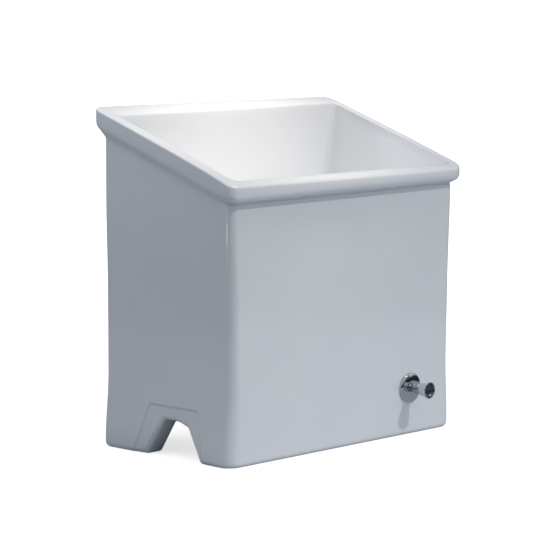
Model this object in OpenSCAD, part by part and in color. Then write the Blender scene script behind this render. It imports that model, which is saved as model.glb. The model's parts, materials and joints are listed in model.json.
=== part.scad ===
// Free-standing mop sink: a glazed fireclay pedestal with a sloping rim, and a basket drain
// that a pull knob on the front opens through a cable and a crank.
// The origin is on the drain axis at floor level. X is the width, Y runs to the back, Z is up.

/* [Rim] */
// Width over the rim
rim_w = 540; // [500:5:600]
// Depth over the rim, front to back
rim_d = 300; // [280:5:340]
// Height of the rim's top at the front
front_h = 422; // [390:2:460]
// Rise of the rim's top from front to back
back_rise = 104; // [80:4:128]
// Height of the rim's upright band
rim_band = 21; // [16:1:26]
// Width of the rim's top, from its outer edge to the basin
rim_top_w = 27; // [25:1:34]
// Height of the cove under the band
cove_h = 8; // [6:1:14]
// Corner radius of the rim, seen from above
rim_corner_r = 18; // [10:1:26]

/* [Pedestal] */
// How far the rim reaches past the pedestal at each side
side_overhang = 15; // [10:1:18]
// How far the rim reaches past the pedestal at the front
front_overhang = 14; // [10:1:18]
// How far the rim reaches past the pedestal at the back
back_overhang = 8; // [6:1:18]
// Corner radius of the pedestal, seen from above
body_corner_r = 18; // [12:1:26]
// Wall thickness of the pedestal
wall_t = 16; // [12:1:20]

/* [Basin] */
// Height of the basin's floor above the ground
basin_floor_z = 178; // [174:2:200]
// Width of the basin just above its rounded floor edge
basin_w = 344; // [300:4:380]
// Depth of the basin just above its rounded floor edge
basin_d = 188; // [176:2:200]
// Thickness of the basin's walls
basin_t = 13; // [10:1:16]
// Thickness of the basin's floor
floor_t = 14; // [12:1:18]
// Height of the rounded edge between floor and walls
floor_round = 26; // [16:2:34]
// Corner radius of the basin, seen from above
basin_corner_r = 32; // [20:2:44]

/* [Notches and back opening] */
// Height of the side notches
notch_h = 58; // [40:2:70]
// Width of the side notches at the floor
notch_foot_w = 114; // [90:2:120]
// Width of the side notches below their rounded top
notch_top_w = 68; // [50:2:76]
// Distance of the notches' middle from the front of the pedestal
notch_middle = 119; // [112:1:130]
// Width of the flat border beside and above each notch
notch_border = 21; // [14:1:24]
// How deep the border is set into the side walls
border_depth = 1.2; // [0.6:0.2:2]
// Thickness of the side walls round the notches
notch_wall_t = 34; // [24:1:38]
// Width of the opening in the back for the pipes
back_open_w = 300; // [200:10:340]
// Height of the opening in the back
back_open_h = 150; // [120:5:160]

/* [Waste] */
// Outer diameter of the waste's flange in the basin's floor
flange_d = 112; // [106:1:120]
// Thickness of the flange
flange_t = 2; // [1.5:0.5:3]
// Outer diameter of the waste's cup
cup_d = 84; // [80:1:88]
// Wall thickness of the cup
cup_t = 2; // [1.5:0.5:2.5]
// Depth of the cup below the basin's floor
cup_depth = 58; // [56:1:64]
// Depth of the valve seat below the basin's floor
seat_depth = 34; // [30:1:36]
// Diameter of the valve seat's hole
seat_hole_d = 46; // [36:1:50]
// Thickness of the rubber seal under the flange
upper_seal_t = 1.5; // [1:0.5:2.5]
// Thickness of the rubber washer under the basin
lower_washer_t = 3; // [2:0.5:4]
// Height of the nut that clamps the waste
back_nut_h = 12; // [8:1:13]
// Outer diameter of the outlet tube
outlet_d = 40; // [32:1:42]
// Wall thickness of the outlet tube
outlet_t = 2; // [1.5:0.5:3]

/* [Basket] */
// Gap between the basket and the cup's wall
basket_gap = 6; // [5:0.5:8]
// Wall thickness of the basket
basket_t = 1; // [0.8:0.2:1.4]
// Diameter of the strainer holes
strainer_hole_d = 4; // [2.5:0.5:5]
// Diameter of the valve seal
valve_seal_d = 56; // [54:1:60]
// Diameter of the basket's lifting button
button_d = 17; // [14:1:20]

/* [Knob] */
// Height of the knob's axis above the ground
knob_z = 76; // [74:1:78]
// Distance of the knob's axis to the right of the drain
knob_x = 150; // [146:1:160]
// Diameter of the rosette on the wall
rosette_d = 48; // [42:1:54]
// Thickness of the rosette
rosette_t = 6; // [5:0.5:8]
// Diameter of the knob's flared end
knob_end_d = 27; // [24:1:32]
// Diameter of the knob at its narrow back
knob_back_d = 16.5; // [15:0.5:20]
// Length of the knob
knob_len = 30; // [26:1:36]
// Gap between the rosette and the knob when it is pushed in
knob_gap = 6; // [4:0.5:9]
// Diameter of the spindle
spindle_d = 10; // [8:1:11]
// Diameter of the threaded bush through the wall
bush_d = 20; // [18:1:22]
// How far the knob pulls out
pull = 12; // [8:1:13]

/* [Cable and crank] */
// Outer diameter of the cable's sleeve
sleeve_d = 5; // [4:0.5:6]
// Diameter of the inner wire
wire_d = 1.6; // [1.2:0.2:2]
// Distance of the crank arm to the right of the drain
crank_x = 74; // [72:1:80]
// Effective length of the crank arm
crank_r = 24; // [22:1:26]
// Diameter of the crank's shaft
shaft_d = 6; // [5:0.5:7]
// Distance of the shaft's axis in front of the drain axis
shaft_setback = 18; // [16:0.5:19]
// Diameter of the lift pin
pin_d = 6; // [5:0.5:7]

/* [Hidden] */
$fn = 64;

// Radial clearance between pieces that don't move on each other
fit = 0.3;
// Radial clearance of what turns or slides in its bearing
run = 0.1;
// Gap at rest between a moving piece and its seat
seat_gap = 0.3;
// Overshoot of cuts past the faces that they open
cut = 1;
// Larger than anything here
far = 1200;
// Thickness of the thin plates that a hull spans
plate = 0.1;

// Pedestal and rim
body_d = rim_d - front_overhang - back_overhang;
body_x = rim_w / 2 - side_overhang;
front_y = -body_d / 2;
back_y = body_d / 2;
rim_y0 = front_y - front_overhang;
rim_y1 = back_y + back_overhang;
slope = atan(back_rise / rim_d);
arc_steps = 8;

// Basin
open_x = rim_w / 2 - rim_top_w;
open_y0 = rim_y0 + rim_top_w;
open_y1 = rim_y1 - rim_top_w;
floor_inset = 0.7 * floor_round;
under_z = basin_floor_z - floor_t;

// Waste, from the basin's floor down
recess_z = basin_floor_z - flange_t - upper_seal_t;
recess_gap = 2;
recess_d = flange_d + 2 * recess_gap;
hole_gap = 3;
waste_hole_d = cup_d + 2 * hole_gap;
cup_bottom_z = basin_floor_z - cup_depth;
seat_z = basin_floor_z - seat_depth;
seat_t = 3;
seat_ledge_w = 3;
seat_ledge_h = 3;
washer_d = flange_d - 2 * recess_gap;
nut_inset = 2;
back_nut_d = washer_d - 2 * nut_inset;
lug_reach = 3;
housing_seal_t = 3;
ledge_z = cup_bottom_z - housing_seal_t;
housing_wall = 3;
spider_t = 4;
spider_z = ledge_z - spider_t - cut;
collar_wall = 5;
collar_d = cup_d + 2 * fit + 2 * collar_wall;
collar_h = 18;
collar_top_z = cup_bottom_z + collar_h;
ledge_t = 3;
ledge_w = 4;
chamber_d = cup_d - 2 * ledge_w;
spider_rest_w = 3;
sump_d = chamber_d - 2 * spider_rest_w;
sump_above_knob = 8;
sump_z = knob_z + sump_above_knob;
neck_wall = 3;
neck_d = outlet_d + 2 * neck_wall;
neck_len = 26;
neck_z = sump_z - neck_len;

// The tailpiece's upper end is a little slimmer than the spigot that the pipe's socket takes
tail_step = 1;
tail_d = outlet_d - 2 * tail_step;
tail_in_neck = 20;
tailpiece_top_z = neck_z + tail_in_neck;
slip_nut_wall = 7;
slip_nut_d = neck_d + 2 * slip_nut_wall;
slip_thread_h = 14;
slip_washer_t = 4;
slip_flange_t = 4;
slip_nut_h = slip_washer_t + slip_flange_t + slip_thread_h;
slip_nut_z = neck_z - slip_washer_t - slip_flange_t;
socket_gap = 2;
spigot_len = slip_nut_z - socket_gap;

// Crank: its pin swings half the pull to each side of straight down
half_swing = asin(pull / 2 / crank_r);
shaft_y = -shaft_setback;
shaft_z = knob_z + crank_r * (1 + cos(half_swing)) / 2;
tip_r = 3;
lift = 2 * shaft_setback * sin(half_swing);
pin_foot_z = shaft_z - shaft_setback * sin(half_swing) + tip_r + 0.2;
pin_foot_d = 10;
pin_foot_t = 2.5;
boss_d = shaft_d + 10;
boss_end_x = collar_d / 2 + 10;
shaft_seal_t = 3;
gland_d = boss_d + 8;
gland_x = boss_end_x - 9;
gland_end_x = boss_end_x + 3;
tail_bearing = 5;
shaft_tail_x = tail_bearing - chamber_d / 2;
shaft_seal_w = 2.5;
arm_w = 8;
cheek_t = 2.5;
nipple_d = 5;
nipple_len = 10;
slot_clear = 0.35;
arm_rest_y = shaft_y - pull / 2;

// Cable
ferrule_front_y = arm_rest_y + pull + 9;
bracket_y = ferrule_front_y + 3;
bracket_t = 4;
pad_x = chamber_d / 2 + 8;
foot_t = 3;
foot_d = 24;
bracket_screw_z = [sump_z + 6, sump_z + 20];
bracket_screw_y = bracket_y + 0.6 * foot_d;
screw_d = 3.2;
screw_len = 6;
screw_head_d = 7.5;
screw_head_h = 2.5;
screw_slot_w = 1;
screw_slot_depth = 1;
ferrule_d = sleeve_d + 2;
ferrule_collar_d = ferrule_d + 4;
ferrule_back_y = bracket_y + bracket_t + 8;
sleeve_crank_y = ferrule_front_y + 4;
bend_y = sleeve_crank_y + pull + 6;
bend_r = (knob_x - crank_x) / 2;
core_d = wire_d + 0.8;

// Knob, from the front of the wall outward and inward
rosette_seal_t = 1;
rosette_back_y = front_y - rosette_seal_t;
rosette_front_y = rosette_back_y - rosette_t;
knob_back_y = rosette_front_y - knob_gap;
knob_end_y = knob_back_y - knob_len;
knob_end_t = 8;
knob_bore = knob_len - knob_end_t;
grub_d = 4;
grub_setback = 5;
bush_front_y = rosette_front_y + 2;
wall_in_y = front_y + wall_t;
inner_washer_t = 2;
lock_nut_h = 7;
lock_nut_wall = 6.5;
bush_back_y = wall_in_y + inner_washer_t + lock_nut_h + 14;
bush_hole_d = bush_d + 3;
spindle_back_y = bush_back_y - 10;
cap_overlap = 8;
cap_wall = 4;
cap_boss = 10;
cap_d = bush_d + 6;
sleeve_knob_y = bush_back_y + cap_wall;
wire_in_sleeve = pull + 10;

// Basket, from the seat up
basket_d = cup_d - 2 * cup_t - 2 * basket_gap;
lip_gap = 2;
lip_t = 1.5;
seal_z = seat_z + seat_gap;
valve_seal_t = 4;
seal_washer_t = 1;
holder_z = seal_z - 4;
basket_z = seal_z + valve_seal_t + seal_washer_t + 3;
basket_top_z = basin_floor_z - flange_t;
lip_d = cup_d - 2 * cup_t - 2 * lip_gap;
hub_d = pin_d + 6;
spacer_d = hub_d + 4;
socket_depth = 6;
stem_d = 6;
pin_top_z = holder_z + socket_depth - seat_gap;
button_top_z = basin_floor_z - 5;

// Colours
fireclay = "white";
chrome = [0.80, 0.82, 0.85];
steel = [0.70, 0.71, 0.72];
black_plastic = [0.10, 0.10, 0.11];
grey_plastic = [0.78, 0.79, 0.80];
rubber = [0.13, 0.13, 0.13];
brass = [0.78, 0.62, 0.30];

// A quarter arc about (cx, cy) that starts at angle a
function corner_arc(cx, cy, r, a) = [
  for (i = [0:arc_steps]) [cx + r * cos(a + 90 * i / arc_steps), cy + r * sin(a + 90 * i / arc_steps)]
];

// A rounded rectangle from -x to x and from y0 to y1
function outline(x, y0, y1, r) = concat(
  corner_arc(x - r, y1 - r, r, 0),
  corner_arc(r - x, y1 - r, r, 90),
  corner_arc(r - x, y0 + r, r, 180),
  corner_arc(x - r, y0 + r, r, 270)
);

// An upright block with that outline
module block(x, y0, y1, r, z0, z1) {
  translate([0, 0, z0])
    linear_extrude(z1 - z0)
      polygon(outline(x, y0, y1, r));
}

// A thin level plate with that outline
module level_plate(x, y0, y1, r, z) {
  block(x, y0, y1, r, z, z + plate);
}

// Moves its children into the sloping plane that lies drop below the rim's top
module on_slope(drop) {
  translate([0, rim_y0, front_h - drop])
    rotate([slope, 0, 0])
      children();
}

// A thin plate in that plane, with that outline when seen from above
module sloped_plate(x, y0, y1, r, drop) {
  on_slope(drop)
    linear_extrude(plate)
      polygon([for (p = outline(x, y0, y1, r)) [p[0], (p[1] - rim_y0) / cos(slope)]]);
}

// Everything below that plane
module below_slope(drop) {
  on_slope(drop)
    translate([-far / 2, -far / 2, -far])
      cube(far);
}

// A tube along Z
module tube(d, bore, h) {
  difference() {
    cylinder(d = d, h = h);
    translate([0, 0, -cut])
      cylinder(d = bore, h = h + 2 * cut);
  }
}

// A cylinder along +X from x0 to x1
module x_cyl(d, x0, x1) {
  translate([x0, 0, 0])
    rotate([0, 90, 0])
      cylinder(d = d, h = x1 - x0);
}

// A cylinder along +Y from y0 to y1
module y_cyl(d, y0, y1) {
  translate([0, y0, 0])
    rotate([-90, 0, 0])
      cylinder(d = d, h = y1 - y0);
}

// The fireclay: the basin with its rim, and the pedestal that it is stuck to before firing
module rim_band_block() {
  intersection() {
    block(rim_w / 2, rim_y0, rim_y1, rim_corner_r, front_h - 3 * rim_band, front_h + back_rise + rim_band);
    on_slope(rim_band)
      translate([-far / 2, -far / 2, 0])
        cube([far, far, rim_band * cos(slope)]);
  }
}

module cove() {
  edge = 1.5;
  hull() {
    sloped_plate(rim_w / 2 - edge, rim_y0 + edge, rim_y1 - edge, rim_corner_r - edge, rim_band - edge);
    sloped_plate(body_x, front_y, back_y, body_corner_r, rim_band + cove_h);
  }
}

module pedestal_block() {
  intersection() {
    block(body_x, front_y, back_y, body_corner_r, 0, front_h + back_rise);
    below_slope(rim_band + cove_h);
  }
}

// The basin's inside, or its outside when grown by the wall
module basin_shape(grow, drop, bottom_z) {
  side = basin_w / 2 + grow;
  y = basin_d / 2 + grow;
  hull() {
    sloped_plate(open_x + grow, open_y0 - grow, open_y1 + grow, basin_corner_r / 2 + grow, drop);
    level_plate(side, -y, y, basin_corner_r + grow, basin_floor_z + floor_round);
    level_plate(side - floor_inset, floor_inset - y, y - floor_inset, basin_corner_r, bottom_z);
  }
}

module pedestal_hollow() {
  block(body_x - wall_t, front_y + wall_t, back_y - wall_t, body_corner_r - wall_t / 2,
        -cut, front_h + back_rise);
}

// The notch's outline in Y and Z, with its leaning sides run on below the floor
function notch_outline(foot_w, top_w, h, r) =
  let (m = front_y + notch_middle, lean = (foot_w - top_w) / 2 / (h - r), low_w = foot_w / 2 + lean * cut)
  concat(
    [[m - low_w, -cut]],
    [for (i = [0:arc_steps]) [m - top_w / 2 + r * (1 - cos(90 * i / arc_steps)),
                              h - r + r * sin(90 * i / arc_steps)]],
    [for (i = [arc_steps:-1:0]) [m + top_w / 2 - r * (1 - cos(90 * i / arc_steps)),
                                 h - r + r * sin(90 * i / arc_steps)]],
    [[m + low_w, -cut]]
  );

module notch_prism(points, x0, x1) {
  translate([x0, 0, 0])
    rotate([90, 0, 90])
      linear_extrude(x1 - x0)
        polygon(points);
}

module notches() {
  opening = notch_outline(notch_foot_w, notch_top_w, notch_h, 12);
  notch_prism(opening, -body_x - cut, -body_x + notch_wall_t + cut);
  notch_prism(opening, body_x - notch_wall_t - cut, body_x + cut);
}

module notch_borders() {
  border = notch_outline(notch_foot_w + 1.4 * notch_border, notch_top_w + 2 * notch_border,
                         notch_h + notch_border, 5);
  notch_prism(border, -body_x - cut, -body_x + border_depth);
  notch_prism(border, body_x - border_depth, body_x + cut);
}

module notch_frames() {
  inner = body_x - wall_t + cut;
  depth = notch_wall_t - wall_t + cut;
  y0 = front_y + notch_middle - notch_foot_w / 2 - notch_border;
  for (x = [-inner, inner - depth])
    translate([x, y0, 0])
      cube([depth, notch_foot_w + 2 * notch_border, notch_h + notch_border]);
}

module back_opening() {
  r = 30;
  x = back_open_w / 2;
  translate([0, back_y + cut, 0])
    rotate([90, 0, 0])
      linear_extrude(wall_t + 2 * cut)
        polygon(concat(
          [[-x, -cut], [x, -cut]],
          corner_arc(x - r, back_open_h - r, r, 0),
          corner_arc(r - x, back_open_h - r, r, 90)
        ));
}

module basin() {
  color(fireclay)
    difference() {
      union() {
        rim_band_block();
        cove();
        intersection() {
          basin_shape(basin_t, rim_band / 2, under_z);
          pedestal_hollow();
        }
      }
      basin_shape(0, -cut, basin_floor_z);
      translate([0, 0, recess_z])
        cylinder(d = recess_d, h = floor_t);
      translate([0, 0, under_z - cut])
        cylinder(d = waste_hole_d, h = floor_t + 2 * cut);
    }
}

module pedestal() {
  color(fireclay)
    difference() {
      union() {
        difference() {
          pedestal_block();
          pedestal_hollow();
        }
        notch_frames();
      }
      basin_shape(0, -cut, basin_floor_z);
      translate([knob_x, 0, knob_z])
        y_cyl(bush_hole_d, front_y - cut, wall_in_y + cut);
      notches();
      notch_borders();
      back_opening();
    }
}

// The waste
module waste_flange() {
  bore = cup_d - 2 * cup_t;
  color(steel)
    difference() {
      union() {
        translate([0, 0, basin_floor_z - flange_t])
          cylinder(d = flange_d, h = flange_t);
        translate([0, 0, cup_bottom_z])
          cylinder(d = cup_d, h = cup_depth - flange_t / 2);
      }
      translate([0, 0, seat_z - seat_t])
        cylinder(d = bore, h = seat_depth + seat_t + cut);
      translate([0, 0, cup_bottom_z - cut])
        cylinder(d = bore, h = cup_depth - seat_depth - seat_t - seat_ledge_h + cut);
      translate([0, 0, cup_bottom_z])
        cylinder(d = bore - 2 * seat_ledge_w, h = cup_depth);
    }
}

// The ring that the valve's seal closes on lies on a ledge in the cup
module valve_seat() {
  color(steel)
    translate([0, 0, seat_z - seat_t])
      tube(cup_d - 2 * cup_t - 2 * fit, seat_hole_d, seat_t);
}

module upper_seal() {
  color(rubber)
    translate([0, 0, recess_z])
      tube(flange_d - 2, cup_d + 2 * fit, upper_seal_t);
}

module lower_washer() {
  color(rubber)
    translate([0, 0, under_z - lower_washer_t])
      tube(washer_d, cup_d + 2 * fit, lower_washer_t);
}

module back_nut() {
  lugs = 8;
  lug_w = 12;
  lug_root = cup_d / 2 + ledge_w;
  color(grey_plastic)
    translate([0, 0, under_z - lower_washer_t - back_nut_h])
      difference() {
        union() {
          cylinder(d = back_nut_d, h = back_nut_h);
          for (i = [0:lugs - 1])
            rotate([0, 0, 360 / lugs * (i + 0.5)])
              translate([lug_root, -lug_w / 2, 0])
                cube([washer_d / 2 + lug_reach - lug_root, lug_w, back_nut_h]);
        }
        translate([0, 0, -cut])
          cylinder(d = cup_d + 2 * fit, h = back_nut_h + 2 * cut);
      }
}

module valve_housing() {
  outer_d = chamber_d + 2 * housing_wall;
  color(black_plastic)
    difference() {
      union() {
        translate([0, 0, ledge_z - 2 * ledge_t])
          cylinder(d = collar_d, h = collar_top_z - ledge_z + 2 * ledge_t);
        translate([0, 0, sump_z - housing_wall])
          cylinder(d = outer_d, h = ledge_z - sump_z + housing_wall - ledge_t);
        translate([0, 0, neck_z])
          cylinder(d = neck_d, h = sump_z - neck_z);
        translate([0, shaft_y, shaft_z])
          x_cyl(boss_d, 0, boss_end_x);
        translate([0, bracket_y, sump_z - housing_wall])
          cube([pad_x, foot_d, ledge_z - sump_z - ledge_t]);
      }
      translate([0, 0, ledge_z])
        cylinder(d = cup_d + 2 * fit, h = far);
      translate([0, 0, spider_z])
        cylinder(d = chamber_d, h = far);
      difference() {
        translate([0, 0, sump_z])
          cylinder(d = sump_d, h = far);
        translate([0, shaft_y, shaft_z])
          x_cyl(boss_d, -far, shaft_tail_x + tail_bearing);
      }
      translate([0, 0, neck_z - cut])
        cylinder(d = tail_d + 2 * fit, h = far);
      translate([0, shaft_y, shaft_z]) {
        x_cyl(shaft_d + 2 * run, shaft_tail_x - 2 * run, boss_end_x + cut);
        x_cyl(shaft_d + 2 * shaft_seal_w, boss_end_x - shaft_seal_t - fit, boss_end_x + cut);
      }
      for (z = bracket_screw_z)
        translate([0, bracket_screw_y, z])
          x_cyl(screw_d + 2 * run, pad_x - screw_len - cut, pad_x + cut);
    }
}

module housing_seal() {
  color(rubber)
    translate([0, 0, ledge_z])
      tube(cup_d, chamber_d, housing_seal_t);
}

module guide_spider() {
  spokes = 3;
  ring_w = 4;
  guide_d = pin_d + 6;
  color(grey_plastic)
    difference() {
      union() {
        translate([0, 0, spider_z])
          tube(chamber_d - 2 * fit, chamber_d - 2 * fit - 2 * ring_w, spider_t);
        translate([0, 0, spider_z])
          cylinder(d = guide_d, h = 3 * spider_t);
        for (i = [0:spokes - 1])
          rotate([0, 0, 120 * i + 90])
            translate([0, -2, spider_z])
              cube([chamber_d / 2 - ring_w, 4, spider_t]);
      }
      translate([0, 0, spider_z - cut])
        cylinder(d = pin_d + 2 * run, h = 3 * spider_t + 2 * cut);
    }
}

module shaft_seal() {
  color(rubber)
    translate([boss_end_x - shaft_seal_t, shaft_y, shaft_z])
      rotate([0, 90, 0])
        tube(shaft_d + 2 * shaft_seal_w - 2 * run, shaft_d + 2 * run, shaft_seal_t);
}

module gland_nut() {
  color(grey_plastic)
    translate([0, shaft_y, shaft_z])
      difference() {
        x_cyl(gland_d, gland_x, gland_end_x);
        x_cyl(boss_d + 2 * fit, gland_x - cut, boss_end_x);
        x_cyl(shaft_d + 2 * fit, gland_x, gland_end_x + cut);
        for (a = [0:60:300])
          rotate([a, 0, 0])
            x_cyl_groove();
      }
}

// A grip groove along the gland nut's outside
module x_cyl_groove() {
  translate([gland_x - cut, -1, gland_d / 2 - 1])
    cube([gland_end_x - gland_x + 2 * cut, 2, 3]);
}

// The cable's bracket at the crank end
module cable_bracket() {
  wing_h = 18;
  wing_reach = 9;
  top_z = max(bracket_screw_z) + screw_head_d * 2 / 3;
  low_z = knob_z - wing_h / 2;
  color(steel)
    difference() {
      union() {
        translate([pad_x, bracket_y, low_z])
          cube([foot_t, foot_d, top_z - low_z]);
        translate([pad_x, bracket_y, low_z])
          cube([crank_x + wing_reach - pad_x, bracket_t, wing_h]);
      }
      translate([crank_x, 0, knob_z])
        y_cyl(ferrule_d + 2 * run, bracket_y - cut, bracket_y + bracket_t + cut);
      for (z = bracket_screw_z)
        translate([0, bracket_screw_y, z])
          x_cyl(screw_d + 4 * fit, pad_x - cut, pad_x + foot_t + cut);
    }
}

module bracket_screws() {
  color(steel)
    for (z = bracket_screw_z)
      translate([0, bracket_screw_y, z])
        difference() {
          union() {
            x_cyl(screw_d, pad_x - screw_len, pad_x + foot_t + screw_slot_depth);
            x_cyl(screw_head_d, pad_x + foot_t, pad_x + foot_t + screw_head_h);
          }
          translate([pad_x + foot_t + screw_head_h - screw_slot_depth, -screw_head_d / 2 - cut,
                     -screw_slot_w / 2])
            cube([screw_head_h, screw_head_d + 2 * cut, screw_slot_w]);
        }
}

module crank_ferrule() {
  color(brass)
    translate([crank_x, 0, knob_z])
      difference() {
        union() {
          y_cyl(ferrule_d, ferrule_front_y, ferrule_back_y);
          y_cyl(ferrule_collar_d, bracket_y + bracket_t, bracket_y + bracket_t + 2);
        }
        y_cyl(core_d, ferrule_front_y - cut, ferrule_back_y);
        y_cyl(sleeve_d + 2 * run, sleeve_crank_y, ferrule_back_y + cut);
      }
}

// The sleeve runs from the knob's cap toward the back, turns round and meets the crank's ferrule
module bowden_sleeve() {
  color(black_plastic)
    difference() {
      union() {
        translate([crank_x, 0, knob_z])
          y_cyl(sleeve_d, sleeve_crank_y, bend_y);
        translate([(knob_x + crank_x) / 2, bend_y, knob_z])
          rotate_extrude(angle = 180)
            translate([bend_r, 0])
              circle(d = sleeve_d);
        translate([knob_x, 0, knob_z])
          y_cyl(sleeve_d, sleeve_knob_y, bend_y);
      }
      translate([crank_x, 0, knob_z])
        y_cyl(core_d, sleeve_crank_y - cut, bend_y - 2);
      translate([knob_x, 0, knob_z])
        y_cyl(core_d, sleeve_knob_y - cut, sleeve_knob_y + wire_in_sleeve + 2);
    }
}

module cable_cap() {
  color(grey_plastic)
    translate([knob_x, 0, knob_z])
      difference() {
        union() {
          y_cyl(cap_d, bush_back_y - cap_overlap, bush_back_y + cap_wall);
          y_cyl(sleeve_d + 5, bush_back_y, bush_back_y + cap_wall + cap_boss);
        }
        y_cyl(bush_d + 2 * fit, bush_back_y - cap_overlap - cut, bush_back_y);
        y_cyl(core_d, bush_back_y - cut, bush_back_y + cap_wall + cut);
        y_cyl(sleeve_d + 2 * run, sleeve_knob_y, bush_back_y + cap_wall + cap_boss + cut);
      }
}

// The knob's fixed pieces, through the front wall
module through_bush() {
  color(brass)
    translate([knob_x, 0, knob_z])
      difference() {
        y_cyl(bush_d, bush_front_y, bush_back_y);
        y_cyl(spindle_d + 2 * run, bush_front_y - cut, bush_back_y + cut);
      }
}

// The rosette is a disc with a bevelled front edge, and the bush screws into its back
module rosette() {
  bevel = 2.4;
  color(chrome)
    translate([knob_x, rosette_back_y, knob_z])
      rotate([90, 0, 0])
        difference() {
          rotate_extrude()
            polygon([[0, 0], [rosette_d / 2, 0], [rosette_d / 2, rosette_t - bevel - 1],
                     [rosette_d / 2 - bevel / 2, rosette_t - bevel / 2], [rosette_d / 2 - 2 * bevel, rosette_t],
                     [0, rosette_t]]);
          translate([0, 0, -cut])
            cylinder(d = bush_d + 2 * run, h = rosette_back_y - bush_front_y + cut);
          cylinder(d = spindle_d + 2 * fit, h = rosette_t + cut);
        }
}

module rosette_seal() {
  color(rubber)
    translate([knob_x, front_y, knob_z])
      rotate([90, 0, 0])
        tube(rosette_d - 4, bush_d + 2 * fit, rosette_seal_t);
}

module inner_washer() {
  color(rubber)
    translate([knob_x, wall_in_y, knob_z])
      rotate([-90, 0, 0])
        tube(bush_d + 14, bush_d + 2 * fit, inner_washer_t);
}

module lock_nut() {
  color(brass)
    translate([knob_x, wall_in_y + inner_washer_t, knob_z])
      rotate([-90, 0, 0])
        difference() {
          cylinder(d = bush_d + 2 * lock_nut_wall, h = lock_nut_h, $fn = 6);
          translate([0, 0, -cut])
            cylinder(d = bush_d + 2 * fit, h = lock_nut_h + 2 * cut);
        }
}

// The outlet
module slip_nut() {
  ribs = 12;
  rib_w = 4;
  rib_h = 1.5;
  color(grey_plastic)
    translate([0, 0, slip_nut_z])
      difference() {
        union() {
          cylinder(d = slip_nut_d, h = slip_nut_h);
          for (i = [0:ribs - 1])
            rotate([0, 0, 360 / ribs * i])
              translate([0, -rib_w / 2, 0])
                cube([slip_nut_d / 2 + rib_h, rib_w, slip_nut_h]);
        }
        translate([0, 0, -cut])
          cylinder(d = tail_d + 2 * fit, h = slip_nut_h + 2 * cut);
        translate([0, 0, slip_flange_t])
          cylinder(d = neck_d + 2 * fit, h = slip_nut_h);
      }
}

module slip_washer() {
  color(rubber)
    translate([0, 0, neck_z - slip_washer_t])
      tube(neck_d, tail_d + 2 * run, slip_washer_t);
}

// The free spigot below the nut has the pipe's full size
module tailpiece() {
  color(grey_plastic)
    difference() {
      union() {
        cylinder(d = outlet_d, h = spigot_len);
        cylinder(d = tail_d, h = tailpiece_top_z);
      }
      translate([0, 0, -cut])
        cylinder(d = outlet_d - 2 * outlet_t, h = tailpiece_top_z + 2 * cut);
    }
}

// The pull knob and what moves with it
function knob_radius(t) =
  knob_back_d / 2 + (knob_end_d - knob_back_d) / 2 * (0.55 * t + 0.45 * t * t);

module knob() {
  steps = 16;
  round_r = 1;
  color(chrome)
    translate([knob_x, knob_back_y, knob_z])
      rotate([90, 0, 0])
        difference() {
          rotate_extrude()
            polygon(concat(
              [[0, 0], [knob_back_d / 2 - round_r, 0]],
              [for (i = [1:steps]) [knob_radius(i / steps), i / steps * (knob_len - 2)]],
              [[knob_end_d / 2, knob_len - 0.6], [knob_end_d / 2 - 0.8, knob_len],
               [knob_end_d / 2 - 1.8, knob_len], [knob_end_d / 2 - 2.6, knob_len - 0.8],
               [0, knob_len - 0.8]]
            ));
          translate([0, 0, -cut])
            cylinder(d = spindle_d + 2 * run, h = knob_bore + cut);
          translate([0, 0, grub_setback])
            rotate([90, 0, 0])
              cylinder(d = grub_d + 2 * run, h = knob_end_d);
        }
}

module knob_spindle() {
  color(steel)
    translate([knob_x, 0, knob_z])
      difference() {
        y_cyl(spindle_d, knob_back_y - knob_bore + seat_gap, spindle_back_y);
        y_cyl(wire_d + 2 * run, spindle_back_y - 6, spindle_back_y + cut);
      }
}

// A short screw from below, tight on the spindle
module grub_screw() {
  h = knob_back_d / 2 - spindle_d / 2 - 2 * run;
  color(steel)
    translate([knob_x, knob_back_y - grub_setback, knob_z - spindle_d / 2 - h - run / 2])
      difference() {
        cylinder(d = grub_d, h = h);
        translate([0, 0, -cut])
          cylinder(d = grub_d / 2, h = cut + h / 2, $fn = 6);
      }
}

module knob_wire() {
  color(steel)
    translate([knob_x, 0, knob_z])
      y_cyl(wire_d, spindle_back_y - 6, sleeve_knob_y + wire_in_sleeve);
}

// The cable's other end
module crank_wire() {
  color(steel)
    translate([crank_x, 0, knob_z])
      y_cyl(wire_d, arm_rest_y, sleeve_crank_y + 3);
}

module wire_nipple() {
  color(brass)
    translate([0, arm_rest_y, knob_z])
      difference() {
        x_cyl(nipple_d, crank_x - nipple_len / 2, crank_x + nipple_len / 2);
        translate([crank_x, 0, 0])
          y_cyl(wire_d + 2 * run, 0, nipple_d);
      }
}

// The crank
module crank_shaft() {
  color(steel)
    translate([0, shaft_y, shaft_z])
      difference() {
        x_cyl(shaft_d, shaft_tail_x, crank_x + arm_w / 2);
        x_cyl(shaft_d / 2 + 2 * run, crank_x - arm_w, crank_x + arm_w);
      }
}

module lifting_cam() {
  cam_w = 8;
  color(steel)
    translate([0, shaft_y, shaft_z])
      rotate([-half_swing, 0, 0])
        difference() {
          union() {
            x_cyl(shaft_d + 6, -cam_w / 2, cam_w / 2);
            translate([0, shaft_setback, 0])
              x_cyl(2 * tip_r, -cam_w / 2, cam_w / 2);
            translate([-cam_w / 2, 0, -tip_r])
              cube([cam_w, shaft_setback, tip_r]);
          }
          x_cyl(shaft_d + 0.1, -cam_w, cam_w);
        }
}

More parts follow.
